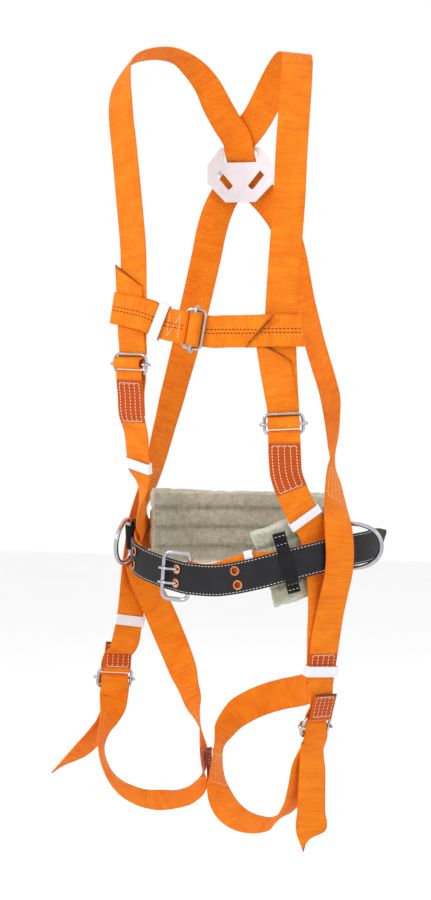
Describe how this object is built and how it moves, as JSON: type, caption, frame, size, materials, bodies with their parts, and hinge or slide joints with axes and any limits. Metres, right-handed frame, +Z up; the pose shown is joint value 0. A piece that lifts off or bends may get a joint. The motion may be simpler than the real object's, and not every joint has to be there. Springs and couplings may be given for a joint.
{
  "type": "full body safety harness",
  "caption": "Full-body safety harness of webbing straps with wire adjusters, a slotted back plate and ring, and a padded work-positioning belt with side rings.",
  "frame": {"origin": "midway between the tops of the two shoulder straps, where a wearer's shoulders or a hanger hold the harness up", "axes": "+Z up, the wearer faces -Y, +X is the wearer's left"},
  "size_m": [0.495, 0.3034, 1.1327],
  "materials": {
    "orange_webbing": "ribbed polyester webbing",
    "black_leather": "grained black leather with white edge stitching",
    "canvas_pad": "quilted canvas",
    "black_webbing": "woven, satin",
    "white_keeper": "moulded, satin",
    "white_plate": "moulded, satin",
    "forged_ring": "bright zinc",
    "zinc_wire": "bright zinc",
    "copper_eyelet": "polished copper"
  },
  "bodies": {
    "root": {"back_cushion": "canvas_pad", "belt_loop_back_left": "black_webbing", "belt_loop_back_right": "black_webbing", "belt_loop_front": "black_webbing", "belt_webbing": "orange_webbing", "chest_buckle_frame": "zinc_wire", "chest_strap_left": "orange_webbing", "chest_strap_right": "orange_webbing", "crotch_link": "orange_webbing", "d_ring_tab_left": "orange_webbing", "d_ring_tab_right": "orange_webbing", "dorsal_plate": "white_plate", "front_strap_left": "orange_webbing", "front_strap_right": "orange_webbing", "grommet_1": "copper_eyelet", "grommet_2": "copper_eyelet", "grommet_3": "copper_eyelet", "grommet_4": "copper_eyelet", "grommet_5": "copper_eyelet", "grommet_6": "copper_eyelet", "keeper_belt": "white_keeper", "keeper_chest": "white_keeper", "leather_strap": "black_leather", "leg_buckle_left_frame": "zinc_wire", "leg_buckle_right_frame": "zinc_wire", "leg_strap_left": "orange_webbing", "leg_strap_right": "orange_webbing", "shoulder_adjuster_left_frame": "zinc_wire", "shoulder_adjuster_right_frame": "zinc_wire", "shoulder_strap_left": "orange_webbing", "shoulder_strap_right": "orange_webbing"},
    "ring_right": {"side_d_ring_right": "forged_ring"},
    "ring_left": {"side_d_ring_left": "forged_ring"},
    "ring_dorsal": {"dorsal_d_ring": "forged_ring"},
    "belt_buckle": {"belt_buckle_frame": "zinc_wire"},
    "prong_top": {"prong_upper": "zinc_wire"},
    "prong_bottom": {"prong_lower": "zinc_wire"},
    "slider_shoulder_right": {"shoulder_adjuster_right_slider": "zinc_wire"},
    "slider_shoulder_left": {"shoulder_adjuster_left_slider": "zinc_wire"},
    "slider_chest": {"chest_buckle_slider": "zinc_wire"},
    "slider_leg_right": {"leg_buckle_right_slider": "zinc_wire"},
    "slider_leg_left": {"leg_buckle_left_slider": "zinc_wire"},
    "keeper_fr": {"keeper_front_right": "white_keeper"},
    "keeper_fl": {"keeper_front_left": "white_keeper"},
    "keeper_lr": {"keeper_leg_right": "white_keeper"},
    "keeper_ll": {"keeper_leg_left": "white_keeper"}
  },
  "joints": [
    {"name": "ring_right_swing", "type": "hinge", "parent": "root", "child": "ring_right", "pos_m": [-0.14908, -0.01306, -0.69313], "axis": [0.0524, -0.3131, 0.9483], "range_deg": [-75, 5]},
    {"name": "ring_left_swing", "type": "hinge", "parent": "root", "child": "ring_left", "pos_m": [0.17477, -0.04078, -0.69568], "axis": [-0.0074, -0.1163, 0.9932], "range_deg": [-30, 8]},
    {"name": "ring_dorsal_swing", "type": "hinge", "parent": "root", "child": "ring_dorsal", "pos_m": [-0.011, 0.0978, -0.158], "axis": [1, 0, 0], "range_deg": [-25, 60]},
    {"name": "belt_buckle_lift", "type": "hinge", "parent": "root", "child": "belt_buckle", "pos_m": [-0.03556, -0.09967, -0.74], "axis": [0.0821, -0.0275, 0.9962], "range_deg": [0, 7]},
    {"name": "prong_top_lift", "type": "hinge", "parent": "belt_buckle", "child": "prong_top", "pos_m": [-0.03556, -0.09967, -0.74], "axis": [0.0821, -0.0275, 0.9962], "range_deg": [0, 6]},
    {"name": "prong_bottom_lift", "type": "hinge", "parent": "belt_buckle", "child": "prong_bottom", "pos_m": [-0.03556, -0.09967, -0.74], "axis": [0.0821, -0.0275, 0.9962], "range_deg": [0, 6]},
    {"name": "slider_shoulder_right_travel", "type": "slide", "parent": "root", "child": "slider_shoulder_right", "axis": [0, 0.0698, -0.9976], "range_m": [-0.002, 0.0015]},
    {"name": "slider_shoulder_left_travel", "type": "slide", "parent": "root", "child": "slider_shoulder_left", "axis": [0.0299, 0.0599, -0.9978], "range_m": [-0.002, 0.0015]},
    {"name": "slider_chest_travel", "type": "slide", "parent": "root", "child": "slider_chest", "axis": [-0.984, 0.0502, 0.1707], "range_m": [-0.002, 0.0015]},
    {"name": "slider_leg_right_travel", "type": "slide", "parent": "root", "child": "slider_leg_right", "axis": [0.1289, 0.0198, 0.9915], "range_m": [-0.002, 0.0015]},
    {"name": "slider_leg_left_travel", "type": "slide", "parent": "root", "child": "slider_leg_left", "axis": [0.2996, -0.0999, 0.9488], "range_m": [-0.002, 0.0015]},
    {"name": "keeper_front_right_travel", "type": "slide", "parent": "root", "child": "keeper_fr", "axis": [-0.0231, 0.3268, -0.9448], "range_m": [-0.005, 0.004]},
    {"name": "keeper_front_left_travel", "type": "slide", "parent": "root", "child": "keeper_fl", "axis": [0.4033, 0.4176, -0.8142], "range_m": [-0.003, 0]},
    {"name": "keeper_leg_right_travel", "type": "slide", "parent": "root", "child": "keeper_lr", "axis": [0.1469, 0.0894, 0.9851], "range_m": [-0.008, 0.008]},
    {"name": "keeper_leg_left_travel", "type": "slide", "parent": "root", "child": "keeper_ll", "axis": [0.1385, -0.0383, 0.9896], "range_m": [-0.006, 0.004]}
  ]
}
